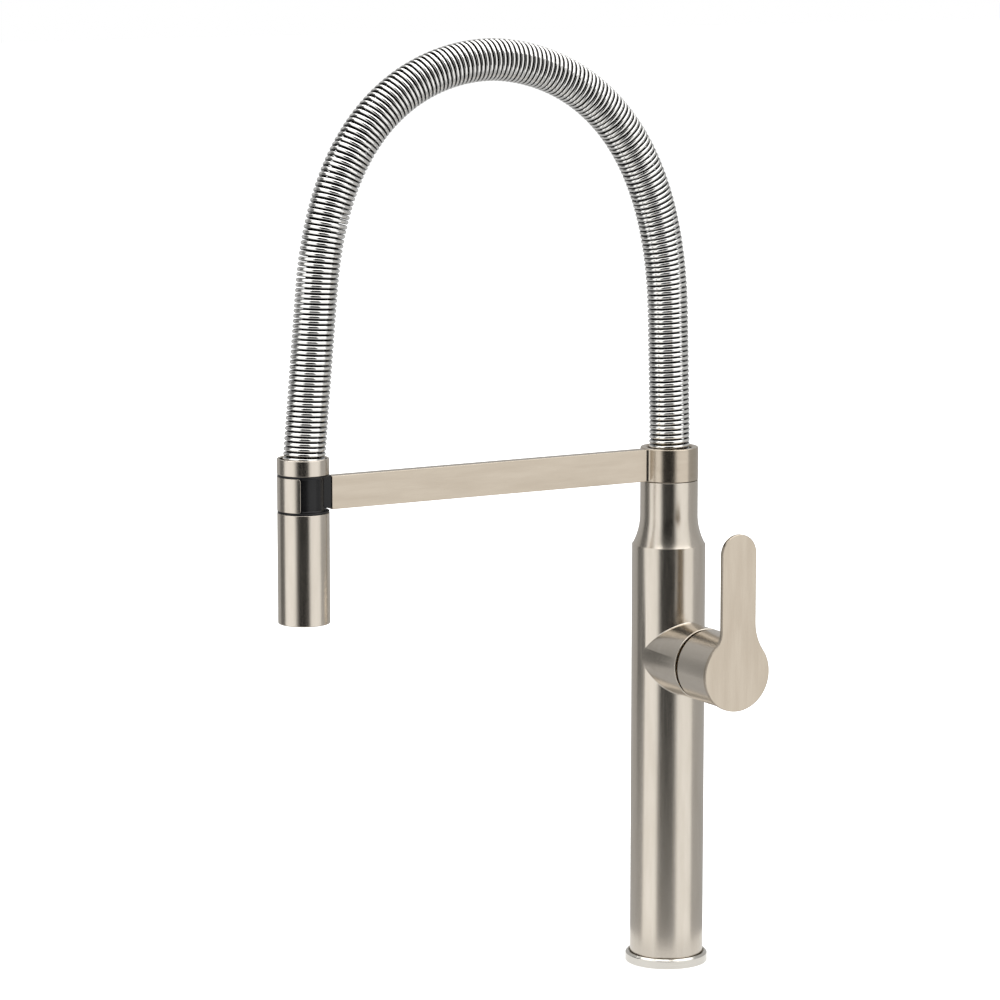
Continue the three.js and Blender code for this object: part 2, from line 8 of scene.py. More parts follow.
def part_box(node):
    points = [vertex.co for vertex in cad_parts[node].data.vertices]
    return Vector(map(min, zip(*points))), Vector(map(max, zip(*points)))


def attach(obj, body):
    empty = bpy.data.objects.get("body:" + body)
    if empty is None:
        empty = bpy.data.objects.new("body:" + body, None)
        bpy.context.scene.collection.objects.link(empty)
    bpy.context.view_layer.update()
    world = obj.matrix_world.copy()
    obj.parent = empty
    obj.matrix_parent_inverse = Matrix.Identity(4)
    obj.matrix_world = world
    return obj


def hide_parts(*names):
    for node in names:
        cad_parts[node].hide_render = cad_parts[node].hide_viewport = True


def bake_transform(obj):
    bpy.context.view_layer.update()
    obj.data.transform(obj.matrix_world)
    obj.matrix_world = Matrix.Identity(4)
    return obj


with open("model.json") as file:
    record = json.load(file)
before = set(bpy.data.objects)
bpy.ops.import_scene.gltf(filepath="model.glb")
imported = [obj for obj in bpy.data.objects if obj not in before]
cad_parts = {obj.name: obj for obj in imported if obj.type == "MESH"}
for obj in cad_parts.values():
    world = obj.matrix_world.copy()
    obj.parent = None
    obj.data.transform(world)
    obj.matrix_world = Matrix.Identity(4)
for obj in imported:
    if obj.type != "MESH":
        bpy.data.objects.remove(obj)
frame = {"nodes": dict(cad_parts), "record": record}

mm = 0.001
gap = 0.3  # mm between pieces that meet
scene = bpy.context.scene
cadNodes = frame["nodes"]
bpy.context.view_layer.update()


def middle(node):  # the centre of a CAD node, in metres
    low, high = (Vector(corner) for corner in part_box(node))
    return (low + high) / 2


def lowZ(node):
    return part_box(node)[0][2] / mm


def highZ(node):
    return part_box(node)[1][2] / mm


headAxis = (0, middle("head_sleeve").y, 0)  # the spray head hangs on this upright line
leverAxis = (0, 0, middle("handle_hub").z)  # the lever's axis runs along X through here


# camera, floor and light

cameraView = {
    "place": (2.0723, -1.3056, 0.6741),
    "heading": 60.2,  # degrees from +Y towards -X
    "dip": 8.96,  # degrees below the horizon
    "lens": 146.2,
}


def makeCamera():
    heading = math.radians(cameraView["heading"])
    dip = math.radians(cameraView["dip"])
    level = math.cos(dip)
    aim = Vector((-math.sin(heading) * level, math.cos(heading) * level, -math.sin(dip)))
    data = bpy.data.cameras.new("photoCamera")
    data.lens = cameraView["lens"]
    data.sensor_width = 36
    data.clip_end = 60
    camera = bpy.data.objects.new("photoCamera", data)
    camera.location = cameraView["place"]
    camera.rotation_mode = "QUATERNION"
    camera.rotation_quaternion = aim.to_track_quat("-Z", "Y")
    scene.collection.objects.link(camera)
    scene.camera = camera


studio = {
    "centre": (0, -0.12, 0.30),
    "floorHalf": 12,
    "floorColour": (0.90, 0.90, 0.90, 1),
    "surroundings": {"seen": 1.0, "onSurfaces": 1.15, "reflected": 0.50},
    "roof": {"height": 3.4, "size": (6.4, 6.4), "glow": 1.6},
}

panels = {  # bearing is measured from the camera's side of the faucet
    "leftPanel": {"bearing": -60, "distance": 3.4, "size": (3.3, 8.4), "height": 0.3, "glow": 0.68},
    "rightPanel": {"bearing": 55, "distance": 3.4, "size": (3.3, 8.4), "height": 0.3, "glow": 0.64},
}

cards = {  # matt cards that only the metal sees
    "darkCard": {"bearing": -2.5, "distance": 2.0, "size": (1.85, 3.4), "height": 1.22, "shade": 0.01},
    "backCard": {"bearing": -102, "distance": 2.0, "size": (1.05, 2.7), "height": 1.00, "shade": 0.15},
}
table = {"radius": 0.09, "height": -0.002, "shade": 0.95}  # a bright disc underfoot, only mirrored


def towards(bearing):  # the level direction of a bearing
    angle = math.radians(bearing + cameraView["heading"] - 90)
    return Vector((math.cos(angle), math.sin(angle), 0))


def faceIn(thing, look):  # stands a panel or card on its bearing, turned to the faucet
    outwards = towards(look["bearing"])
    thing.location = Vector(studio["centre"]) + outwards * look["distance"]
    thing.location.z = look["height"]
    thing.rotation_mode = "QUATERNION"
    thing.rotation_quaternion = (-outwards).to_track_quat("-Z", "Y")
    scene.collection.objects.link(thing)


def areaLight(name, size, glow):
    data = bpy.data.lights.new(name, "AREA")
    data.shape = "RECTANGLE"
    data.size, data.size_y = size
    data.energy = glow * math.pi * size[0] * size[1]  # watts for that glow
    light = bpy.data.objects.new(name, data)
    light.visible_camera = False
    return light


def makeSurroundings():  # bright behind the faucet, dimmer where the metal mirrors it
    levels = studio["surroundings"]
    world = bpy.data.worlds.new("surroundings")
    world.use_nodes = True
    tree = world.node_tree
    rays = tree.nodes.new("ShaderNodeLightPath")
    level = None
    for output, name in (("Is Glossy Ray", "reflected"), ("Is Camera Ray", "seen")):
        choose = tree.nodes.new("ShaderNodeMix")
        choose.inputs["A"].default_value = levels["onSurfaces"]
        choose.inputs["B"].default_value = levels[name]
        tree.links.new(rays.outputs[output], choose.inputs["Factor"])
        if level:
            tree.links.new(level, choose.inputs["A"])
        level = choose.outputs["Result"]
    tree.links.new(level, tree.nodes["Background"].inputs["Strength"])
    tree.nodes["Background"].inputs["Color"].default_value = (1, 1, 1, 1)
    scene.world = world


def mattPaint(name, colour):
    paint = bpy.data.materials.new(name)
    paint.use_nodes = True
    shader = paint.node_tree.nodes["Principled BSDF"]
    shader.inputs["Base Color"].default_value = colour
    shader.inputs["Roughness"].default_value = 1
    shader.inputs["Specular IOR Level"].default_value = 0
    return paint


def onlyMirrored(sheet, shade):  # seen in the metal alone; it glows with its own shade in any light
    sheet.visible_camera = False
    sheet.visible_diffuse = False
    sheet.visible_shadow = False
    felt = mattPaint(sheet.name + "Felt", (0, 0, 0, 1))
    shader = felt.node_tree.nodes["Principled BSDF"]
    shader.inputs["Emission Color"].default_value = (1, 1, 1, 1)
    shader.inputs["Emission Strength"].default_value = shade
    sheet.data.materials.append(felt)


def makeCard(name, look):
    bpy.ops.mesh.primitive_plane_add(size=1)
    sheet = bpy.context.object
    sheet.name = name
    sheet.data.transform(Matrix.Diagonal((*look["size"], 1, 1)))
    scene.collection.objects.unlink(sheet)
    faceIn(sheet, look)
    onlyMirrored(sheet, look["shade"])


def makeStudio():
    scene.view_settings.view_transform = "Standard"
    bpy.ops.mesh.primitive_plane_add(size=2 * studio["floorHalf"])
    floor = bpy.context.object
    floor.name = "floor"
    floor.visible_glossy = False
    floor.visible_shadow = False
    floor.data.materials.append(mattPaint("floorPaint", studio["floorColour"]))
    makeSurroundings()
    for name, look in panels.items():
        faceIn(areaLight(name, look["size"], look["glow"]), look)
    for name, look in cards.items():
        makeCard(name, look)
    bpy.ops.mesh.primitive_circle_add(vertices=64, radius=table["radius"], fill_type="NGON")
    bpy.context.object.location.z = table["height"]
    bpy.context.object.name = "table"
    onlyMirrored(bpy.context.object, table["shade"])
    roof = studio["roof"]
    lamp = areaLight("roof", roof["size"], roof["glow"])
    lamp.location = (0, 0, roof["height"])
    scene.collection.objects.link(lamp)


makeCamera()
makeStudio()
print("studio ready")


# materials

def shaderOf(name):  # a new material with its node tree and its Principled shader
    material = bpy.data.materials.new(name)
    material.use_nodes = True
    return material, material.node_tree, material.node_tree.nodes["Principled BSDF"]


def noiseField(tree, stretch, detail=2.0, roughness=0.5, offset=(0, 0, 0)):
    coordinates = tree.nodes.new("ShaderNodeTexCoord")
    mapping = tree.nodes.new("ShaderNodeMapping")
    mapping.inputs["Location"].default_value = offset
    mapping.inputs["Scale"].default_value = stretch
    noise = tree.nodes.new("ShaderNodeTexNoise")
    noise.inputs["Scale"].default_value = 1
    noise.inputs["Detail"].default_value = detail
    noise.inputs["Roughness"].default_value = roughness
    tree.links.new(coordinates.outputs["Object"], mapping.inputs["Vector"])
    tree.links.new(mapping.outputs["Vector"], noise.inputs["Vector"])
    return noise.outputs["Fac"]


def spreadTo(tree, field, low, high, fromLow=0.3, fromHigh=0.7):  # a field spread over a range of values
    spread = tree.nodes.new("ShaderNodeMapRange")
    spread.inputs["From Min"].default_value = fromLow
    spread.inputs["From Max"].default_value = fromHigh
    spread.inputs["To Min"].default_value = low
    spread.inputs["To Max"].default_value = high
    tree.links.new(field, spread.inputs["Value"])
    return spread.outputs["Result"]


def twoTone(tree, field, first, second):
    ramp = tree.nodes.new("ShaderNodeValToRGB")
    ramp.color_ramp.elements[0].position = 0.35
    ramp.color_ramp.elements[1].position = 0.65
    ramp.color_ramp.elements[0].color = (*first, 1)
    ramp.color_ramp.elements[1].color = (*second, 1)
    tree.links.new(field, ramp.inputs["Fac"])
    return ramp.outputs["Color"]


def bumpFrom(tree, shader, field, height):
    bump = tree.nodes.new("ShaderNodeBump")
    bump.inputs["Strength"].default_value = 1
    bump.inputs["Distance"].default_value = height
    tree.links.new(field, bump.inputs["Height"])
    tree.links.new(bump.outputs["Normal"], shader.inputs["Normal"])


brushedLook = {
    "round": ((0.625, 0.568, 0.490), (0.665, 0.608, 0.530)),
    # flat: the same nickel painted darker and warmer for the flat arm and blade, as painted shade and painted
    # warm light, not a different finish
    "flat": ((0.515, 0.447, 0.360), (0.560, 0.490, 0.400)),
    "roughness": (0.19, 0.27),
    "across": 2600,  # hairlines per metre across the grain
    "along": 35,
    "patchAcross": 170,
    "patchAlong": 26,
    "scratch": 0.0000012,
}


def brushedMetal(name, grain, tone):  # hairlines run along the grain axis: 0 for x, 1 for y, 2 for z
    material, tree, shader = shaderOf(name)
    stretch = [brushedLook["across"]] * 3
    stretch[grain] = brushedLook["along"]
    hairlines = noiseField(tree, stretch, 3.0, 0.6)
    broad = [brushedLook["patchAcross"]] * 3
    broad[grain] = brushedLook["patchAlong"]
    patches = noiseField(tree, broad, 3.0, 0.55, (3, 1, 7))
    colour = twoTone(tree, patches, *brushedLook[tone])
    tree.links.new(colour, shader.inputs["Base Color"])
    tree.links.new(spreadTo(tree, hairlines, *brushedLook["roughness"]), shader.inputs["Roughness"])
    bumpFrom(tree, shader, hairlines, brushedLook["scratch"])
    shader.inputs["Metallic"].default_value = 1
    return material


def smoothMetal(name, look):  # plain metal with faint wipe marks in its gloss
    material, tree, shader = shaderOf(name)
    marks = noiseField(tree, look["grain"], 3.0, 0.55)
    tree.links.new(twoTone(tree, marks, look["dark"], look["light"]), shader.inputs["Base Color"])
    tree.links.new(spreadTo(tree, marks, *look["roughness"]), shader.inputs["Roughness"])
    bumpFrom(tree, shader, marks, look["bump"])
    shader.inputs["Metallic"].default_value = 1
    return material


def steelWithPaintedCreviceShade(name, look):  # bright wire with painted shade on its sides, where the turns lie close together
    material = smoothMetal(name, {**look, "grain": (look["grain"],) * 3})
    tree = material.node_tree
    shader = tree.nodes["Principled BSDF"]
    bare = shader.inputs["Base Color"].links[0].from_socket
    crest = tree.nodes.new("ShaderNodeAttribute")
    crest.attribute_name = "crest"
    mix = tree.nodes.new("ShaderNodeMix")
    mix.data_type = "RGBA"
    tree.links.new(spreadTo(tree, crest.outputs["Fac"], 0, 1, *look["crevice"]), mix.inputs["Factor"])
    mix.inputs["A"].default_value = (*look["shadow"], 1)
    tree.links.new(bare, mix.inputs["B"])
    tree.links.new(mix.outputs["Result"], shader.inputs["Base Color"])
    return material


def mouldedPlastic(name, look):
    material, tree, shader = shaderOf(name)
    skin = noiseField(tree, (look["grain"],) * 3, 3.0, 0.6)
    tree.links.new(twoTone(tree, skin, look["dark"], look["light"]), shader.inputs["Base Color"])
    tree.links.new(spreadTo(tree, skin, *look["roughness"]), shader.inputs["Roughness"])
    bumpFrom(tree, shader, skin, look["bump"])
    shader.inputs["Specular IOR Level"].default_value = look.get("shine", 0.5)
    return material


polishedLook = {"grain": (60, 60, 2400), "light": (0.74, 0.71, 0.65), "dark": (0.70, 0.67, 0.61),
                "roughness": (0.12, 0.20), "bump": 0.0000006}
# shadow and crevice: painted shade on the sides of the wire between the turns
springLook = {
    "grain": 150, "light": (0.90, 0.89, 0.865), "dark": (0.84, 0.83, 0.80), "roughness": (0.04, 0.09),
    "bump": 0.0000008, "shadow": (0.012, 0.012, 0.012), "crevice": (0.50, 0.78),
}
machinedLook = {"grain": (900, 900, 900), "light": (0.72, 0.71, 0.69), "dark": (0.62, 0.61, 0.59),
                "roughness": (0.20, 0.32), "bump": 0.000001}
brassLook = {"grain": (400, 400, 1600), "light": (0.72, 0.53, 0.26), "dark": (0.60, 0.42, 0.18),
             "roughness": (0.25, 0.40), "bump": 0.000002}
blackLook = {"grain": 2200, "light": (0.006, 0.006, 0.0065), "dark": (0.004, 0.004, 0.0045),
             "roughness": (0.24, 0.34), "bump": 0.000004, "shine": 0.3}
paleLook = {"grain": 1500, "light": (0.74, 0.72, 0.67), "dark": (0.68, 0.66, 0.61),
            "roughness": (0.38, 0.52), "bump": 0.000004}
rubberLook = {"grain": 1800, "light": (0.030, 0.030, 0.031), "dark": (0.020, 0.020, 0.021),
              "roughness": (0.60, 0.80), "bump": 0.00001}
hoseLook = {"grain": 900, "light": (0.012, 0.012, 0.013), "dark": (0.006, 0.006, 0.007),
            "roughness": (0.55, 0.75), "bump": 0.00001}
ceramicLook = {"grain": 300, "light": (0.86, 0.84, 0.79), "dark": (0.82, 0.80, 0.75),
               "roughness": (0.12, 0.22), "bump": 0.000001}

brushedUpright = brushedMetal("brushedNickelUpright", 2, "round")
brushedHub = brushedMetal("brushedNickelHub", 0, "round")
# the arm and blade take the flat tone, with its painted shade
armNickelPaintedShade = brushedMetal("brushedNickelArmPaintedShade", 1, "flat")
bladeNickelPaintedShade = brushedMetal("brushedNickelBladePaintedShade", 2, "flat")
polishedNickel = smoothMetal("polishedNickel", polishedLook)
springSteel = steelWithPaintedCreviceShade("springSteel", springLook)
brightSteel = smoothMetal("brightSteel", machinedLook)
brass = smoothMetal("brass", brassLook)
blackPlastic = mouldedPlastic("blackPlastic", blackLook)
palePlastic = mouldedPlastic("palePlastic", paleLook)
sealRubber = mouldedPlastic("sealRubber", rubberLook)
hoseRubber = mouldedPlastic("hoseRubber", hoseLook)
ceramic = mouldedPlastic("ceramic", ceramicLook)
print("materials ready")


# CAD nodes that keep their own shape

slotFinishes = {
    "brushed_nickel": brushedUpright,
    "polished_nickel": polishedNickel,
    "spring_steel": springSteel,
    "bright_steel": brightSteel,
    "black_plastic": blackPlastic,
    "pale_plastic": palePlastic,
    "brass": brass,
    "seal_rubber": sealRubber,
    "hose_rubber": hoseRubber,
    "ceramic": ceramic,
}

for part in frame["record"]["subparts"]:
    mesh = cadNodes[part["node"]].data
    mesh.materials.clear()
    mesh.materials.append(slotFinishes[part["material_slot"]])


# mesh tools

def finishPiece(piece, material, body, node, sharpAngle=35):
    piece.data.materials.clear()
    piece.data.materials.append(material)
    for face in piece.data.polygons:
        face.use_smooth = True
    piece.data.set_sharp_from_angle(angle=math.radians(sharpAngle))
    weighted = piece.modifiers.new("evenNormals", "WEIGHTED_NORMAL")
    weighted.keep_sharp = True
    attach(piece, body)
    if node:
        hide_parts(node)
    return piece


def objectFrom(name, mesh):
    piece = bpy.data.objects.new(name, mesh)
    scene.collection.objects.link(piece)
    return piece


def roundedOutline(points, cuts=4):  # a point is (a, b), or (a, b, radius) for a round corner
    count = len(points)
    outline = []
    for i, point in enumerate(points):
        here = Vector(point[:2])
        radius = point[2] if len(point) > 2 else 0
        if not radius:
            outline.append(here)
            continue
        before = (Vector(points[i - 1][:2]) - here).normalized()
        after = (Vector(points[(i + 1) % count][:2]) - here).normalized()
        half = before.angle(after) / 2
        centre = here + (before + after).normalized() * (radius / math.sin(half))
        start = here + before * (radius / math.tan(half)) - centre
        end = here + after * (radius / math.tan(half)) - centre
        turn = start.angle_signed(end)
        for k in range(cuts + 1):
            outline.append(centre + Matrix.Rotation(-turn * k / cuts, 2) @ start)
    return outline


def meshFrom(work, name):  # ends a bmesh: its shape as a new mesh
    mesh = bpy.data.meshes.new(name)
    work.to_mesh(mesh)
    work.free()
    return mesh


def addMeshes(piece, *meshes):  # puts further closed shapes into a piece's mesh
    work = bmesh.new()
    for mesh in (piece.data, *meshes):
        work.from_mesh(mesh)
    work.to_mesh(piece.data)
    work.free()


def turnedMesh(name, outline, steps=128, axis="z"):  # a closed outline of (radius, height) in mm, turned
    area = sum(a.x * b.y - b.x * a.y for a, b in zip(outline, outline[1:] + outline[:1]))
    if area < 0:
        outline = outline[::-1]
    work = bmesh.new()
    rings = []
    for point in outline:
        if point.x < 1e-6:
            rings.append([work.verts.new((0, 0, point.y * mm))])
            continue
        ringOf = []
        for k in range(steps):
            angle = 2 * math.pi * k / steps
            ringOf.append(work.verts.new((
                point.x * mm * math.cos(angle), point.x * mm * math.sin(angle), point.y * mm)))
        rings.append(ringOf)
    for low, high in zip(rings, rings[1:] + rings[:1]):
        for k in range(steps):
            lowPair = [low[k % len(low)], low[(k + 1) % len(low)]]
            highPair = [high[(k + 1) % len(high)], high[k % len(high)]]
            distinct = list(dict.fromkeys(lowPair + highPair))
            if len(distinct) > 2:
                work.faces.new(distinct)
    if axis == "x":
        work.transform(Matrix.Rotation(math.radians(90), 4, "Y"))
    return meshFrom(work, name)


def turnedPiece(name, points, steps=128, axis="z", at=(0, 0, 0), cuts=4):
    mesh = turnedMesh(name, roundedOutline(points, cuts), steps, axis)
    mesh.transform(Matrix.Translation(at))
    return objectFrom(name, mesh)


def boxPiece(name, low, high):
    work = bmesh.new()
    bmesh.ops.create_cube(work, size=1)
    low, high = Vector(low) * mm, Vector(high) * mm
    size = high - low
    work.transform(Matrix.Translation((low + high) / 2) @ Matrix.Diagonal((*size, 1)))
    return objectFrom(name, meshFrom(work, name))


def evaluatedMesh(piece):  # the piece's mesh with its modifiers made real, and the modifiers gone
    bpy.context.view_layer.update()
    graph = bpy.context.evaluated_depsgraph_get()
    mesh = bpy.data.meshes.new_from_object(piece.evaluated_get(graph))
    piece.modifiers.clear()
    return mesh


def carve(piece, *tools, how="DIFFERENCE"):  # cuts or joins the tools, then removes them
    for tool in tools:
        cutter = piece.modifiers.new("carve", "BOOLEAN")
        cutter.operation = how
        cutter.solver = "EXACT"
        cutter.object = tool
    piece.data = evaluatedMesh(piece)
    for tool in tools:
        bpy.data.objects.remove(tool)
    return piece


def softenEdges(piece, width, segments=3, angle=30):
    bevel = piece.modifiers.new("softEdges", "BEVEL")
    bevel.width = width * mm
    bevel.segments = segments
    bevel.limit_method = "ANGLE"
    bevel.angle_limit = math.radians(angle)
    bevel.harden_normals = False
    return bevel


# base and column

baseLook = {"edge": 0.7, "lip": 0.35, "chamfer": 1.1, "well": 0.8, "bore": 15, "groove": (17.5, 21.5, 2)}


def makeBase():
    low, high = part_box("base_ring")
    radius = (high[0] - low[0]) / 2 / mm
    top = highZ("base_ring")
    well = (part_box("body_column")[1][1]) / mm + baseLook["well"]
    ledge = lowZ("body_column") - gap
    inner, outer, depth = baseLook["groove"]
    bore = baseLook["bore"]
    points = [
        (bore, 0), (inner, 0), (inner, depth), (outer, depth), (outer, 0),
        (radius, 0, 0.3), (radius, top - baseLook["chamfer"], baseLook["edge"]),
        (radius - baseLook["chamfer"], top, baseLook["lip"]), (well, top, 0.2), (well, ledge),
        (bore, ledge),
    ]
    ringPiece = turnedPiece("baseRing", points, 160)
    finishPiece(ringPiece, polishedNickel, "column", "base_ring")


columnLook = {
    "bore": 19.5, "neckBore": 14.6, "neck": 17.65,
    "crease": 261.5, "runOut": 279.7, "shoulderArc": 38,  # the shoulder runs from crease to runOut
    "bossRadius": 22, "bossEnd": 42.6, "bossBore": 14, "boreFrom": 5, "boreTo": 60, "rim": 0.5, "fillet": 0.9,
    "bowl": 24.16, "pivot": 54, "bowlSteps": 64,  # the ball-shaped hollow that the hub tilts in
}


def shoulderArc(look, steps=20):  # the hollow curve from the crease up to the neck
    centre = look["neck"] + look["shoulderArc"]
    start = math.asin((look["runOut"] - look["crease"]) / look["shoulderArc"])
    points = []
    for k in range(steps + 1):
        angle = start * (1 - k / steps)
        inwards = look["shoulderArc"] * math.cos(angle)
        points.append((centre - inwards, look["runOut"] - look["shoulderArc"] * math.sin(angle)))
    return points


def bossFillet(look, radius, boss, steps=144, cuts=5):  # a thin strip rounds the boss into the column
    outer, inner, small = radius + look["fillet"], boss + look["fillet"], look["fillet"]
    work = bmesh.new()
    loops = []
    for k in range(steps):
        turn = 2 * math.pi * k / steps
        across, rise = inner * math.sin(turn), inner * math.cos(turn)
        centre = Vector((math.sqrt(outer ** 2 - across ** 2), across, rise))
        onColumn = Vector((-centre.x, -centre.y, 0)).normalized()
        onBoss = Vector((0, -centre.y, -centre.z)).normalized()
        loop = [centre + onColumn.slerp(onBoss, j / cuts) * small for j in range(cuts + 1)]
        loop.append(centre + (onColumn + onBoss) * small * 0.9)
        loops.append([work.verts.new(point * mm) for point in loop])
    for low, high in zip(loops, loops[1:] + loops[:1]):
        for j in range(len(low)):
            follow = (j + 1) % len(low)
            work.faces.new((low[j], low[follow], high[follow], high[j]))
    bmesh.ops.recalc_face_normals(work, faces=work.faces)
    mesh = meshFrom(work, "bossFillet")
    mesh.transform(Matrix.Translation(leverAxis))
    return mesh


def makeColumn():
    look = columnLook
    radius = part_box("body_column")[1][1] / mm
    foot, top = lowZ("body_column"), highZ("body_column")
    shell = [
        (look["bore"], foot), (radius, foot, 0.4), (radius, look["crease"]), *shoulderArc(look),
        (look["neck"], top, 0.3), (look["neckBore"], top), (look["neckBore"], look["runOut"] + 2),
        (look["bore"], look["crease"]),
    ]
    column = turnedPiece("bodyColumn", shell, 192)
    bossRadius, bossEnd = look["bossRadius"], look["bossEnd"]
    boss = turnedPiece("boss", [
        (0, 0), (bossRadius, 0), (bossRadius, bossEnd, look["rim"]), (0, bossEnd)], 192, "x", leverAxis)
    cavity = turnedPiece("cavity", [
        (0, foot - 1), (look["bore"], foot - 1), (look["bore"], look["crease"]),
        (look["neckBore"], look["runOut"] + 2), (0, look["runOut"] + 2)], 192)
    bossBore, boreFrom, boreTo = look["bossBore"], look["boreFrom"], look["boreTo"]
    bore = turnedPiece("bore", [
        (0, boreFrom), (bossBore, boreFrom), (bossBore, boreTo), (0, boreTo)], 96, "x", leverAxis)
    bowlLine = []
    for k in range(look["bowlSteps"] + 1):
        angle = math.pi * k / look["bowlSteps"]
        reach = look["pivot"] - look["bowl"] * math.cos(angle)
        bowlLine.append(Vector((look["bowl"] * math.sin(angle), reach)))
    bowlMesh = turnedMesh("bowl", bowlLine, 128, "x")
    bowlMesh.transform(Matrix.Translation(leverAxis))
    carve(boss, cavity)
    carve(column, boss, how="UNION")
    carve(column, bore, objectFrom("bowl", bowlMesh))
    addMeshes(column, bossFillet(look, radius, bossRadius))
    finishPiece(column, brushedUpright, "column", "body_column", 25)


makeBase()
makeColumn()
print("base and column ready")


# swivelling arm and dock

armLook = {
    "neck": 17.65, "bore": 11.3, "seat": 13.6, "step": 12.9, "mouth": 14.4,
    "ledge": 311, "seatLedge": 314.2, "mouthChamfer": 0.8,
    "thickness": 7, "fillet": 3, "root": (4.7, 14.5), "end": 233.1, "top": 321, "edge": 0.35,
    "pocket": {"halfWidth": 1.6, "from": 225, "low": 306.5, "high": 316.5},  # takes the dock's tenon
}


def arcOf(centre, radius, start, end, steps):  # points on an arc, angles in degrees
    points = []
    for k in range(steps + 1):
        angle = math.radians(start + (end - start) * k / steps)
        points.append((centre[0] + radius * math.cos(angle), centre[1] + radius * math.sin(angle)))
    return points


def plateFrom(name, outline, low, high):  # an outline in X and Y raised from low to high
    work = bmesh.new()
    base = [work.verts.new((x * mm, y * mm, low * mm)) for x, y in outline]
    face = work.faces.new(base)
    raised = bmesh.ops.extrude_face_region(work, geom=[face])
    tops = [part for part in raised["geom"] if isinstance(part, bmesh.types.BMVert)]
    bmesh.ops.translate(work, verts=tops, vec=(0, 0, (high - low) * mm))
    bmesh.ops.recalc_face_normals(work, faces=work.faces)
    return objectFrom(name, meshFrom(work, name))


def makeArm():
    look = armLook
    low, top = lowZ("swivel_arm"), highZ("swivel_arm")
    collar = turnedPiece("swivelArm", [
        (look["bore"], low), (look["neck"], low, 0.25), (look["neck"], top, 0.6), (look["mouth"], top, 0.2),
        (look["seat"], top - look["mouthChamfer"]), (look["seat"], look["seatLedge"]),
        (look["step"], look["seatLedge"]),
        (look["step"], look["ledge"]), (look["bore"], look["ledge"])], 160)
    half, fillet = look["thickness"] / 2, look["fillet"]
    filletX = half + fillet
    filletY = -math.sqrt((look["neck"] + fillet) ** 2 - filletX ** 2)
    touch = math.degrees(math.atan2(-filletY, filletX))
    rootX, rootY = look["root"]  # inside the collar
    outline = [(rootX, -rootY)]
    outline += arcOf((filletX, filletY), fillet, 180 - touch, 180, 10)
    outline += [(half, -look["end"]), (-half, -look["end"])]
    outline += arcOf((-filletX, filletY), fillet, 0, touch, 10)
    outline += [(-rootX, -rootY)]
    bar = plateFrom("bar", outline, low, look["top"])
    softenEdges(bar, look["edge"], 3, 50)
    bar.data = evaluatedMesh(bar)
    pocket = look["pocket"]
    width, beyond = pocket["halfWidth"], look["end"] + 5
    carve(bar, boxPiece("pocket", (-width, -beyond, pocket["low"]), (width, -pocket["from"], pocket["high"])))
    addMeshes(collar, bar.data)
    bpy.data.objects.remove(bar)
    finishPiece(collar, armNickelPaintedShade, "spout", "swivel_arm")


dockLook = {
    "waist": 11.9, "fillet": 1.3, "edge": 0.4, "depth": 10, "magnetDepth": 10,
    "tenon": {"halfWidth": 1.3, "low": 306.8, "high": 316.2, "to": 225.4},
}


def waistPoints(look, low, high, clearance=0):  # the head's waist, fillets at both ends
    centre = look["waist"] + look["fillet"]
    radius = look["fillet"] - clearance
    lower = arcOf((centre, low + look["fillet"]), radius, 270, 180, 8)
    upper = arcOf((centre, high - look["fillet"]), radius, 180, 90, 8)
    return lower + upper


def makeDock(waistLow, waistHigh):
    look = dockLook
    low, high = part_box("dock_block")
    half = high[0] / mm
    back = armLook["end"] + gap
    reach = -headAxis[1] / mm
    front = reach - look["depth"]
    block = boxPiece("dockBlock", (-half, -front, low[2] / mm), (half, -back, high[2] / mm))
    softenEdges(block, look["edge"], 3)
    block.data = evaluatedMesh(block)
    hollow = turnedPiece("hollow", [
        (0, waistLow + gap), *waistPoints(look, waistLow, waistHigh, gap),
        (0, waistHigh - gap)], 128, "z", headAxis)
    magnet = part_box("dock_magnet")
    radius = (magnet[1][0] - magnet[0][0]) / 2 / mm + gap
    deep = look["magnetDepth"]
    pocketLine = [Vector(point) for point in ((0, -deep), (radius, -deep), (radius, 0), (0, 0))]
    pocket = turnedMesh("pocket", pocketLine, 48)
    pocket.transform(Matrix.Rotation(math.radians(-90), 4, "X"))
    centre = middle("dock_magnet")
    pocket.transform(Matrix.Translation((0, magnet[1][1] + gap * mm, centre.z)))
    carve(block, hollow, objectFrom("pocket", pocket))
    tenon = look["tenon"]
    width = tenon["halfWidth"]
    tongue = boxPiece("tenon", (-width, -back - 1, tenon["low"]), (width, -tenon["to"], tenon["high"]))
    carve(block, tongue, how="UNION")
    finishPiece(block, blackPlastic, "spout", "dock_block")


waistLow = 301.95
waistHigh = 322.15
makeArm()
makeDock(waistLow, waistHigh)
print("arm and dock ready")


# coil spring and hose

archLine = {
    "legFoot": (0, 336), "nearLeg": (1.7, 402.6), "apex": (126, 558.7), "farLeg": (240.5, 429.4),
    "end": (249.8, 326.6),
    "rise": 158, "lead": 5, "tail": 22, "drop": 121.5,  # how far each curve pulls out past its ends
}
springSizes = {
    "foot": 317.4, "end": 327.6, "coil": 11.23, "wire": 1.27, "pitch": 2.96, "perTurn": 26, "sides": 8,
}
hoseSizes = {"foot": 324.3, "end": 334.2, "radius": 7, "bore": 3.8, "sides": 24}


def bezierPoints(a, b, c, d, steps):
    points = []
    for k in range(steps + 1):
        t = k / steps
        s = 1 - t
        points.append(a * s ** 3 + b * 3 * s * s * t + c * 3 * s * t * t + d * t ** 3)
    return points


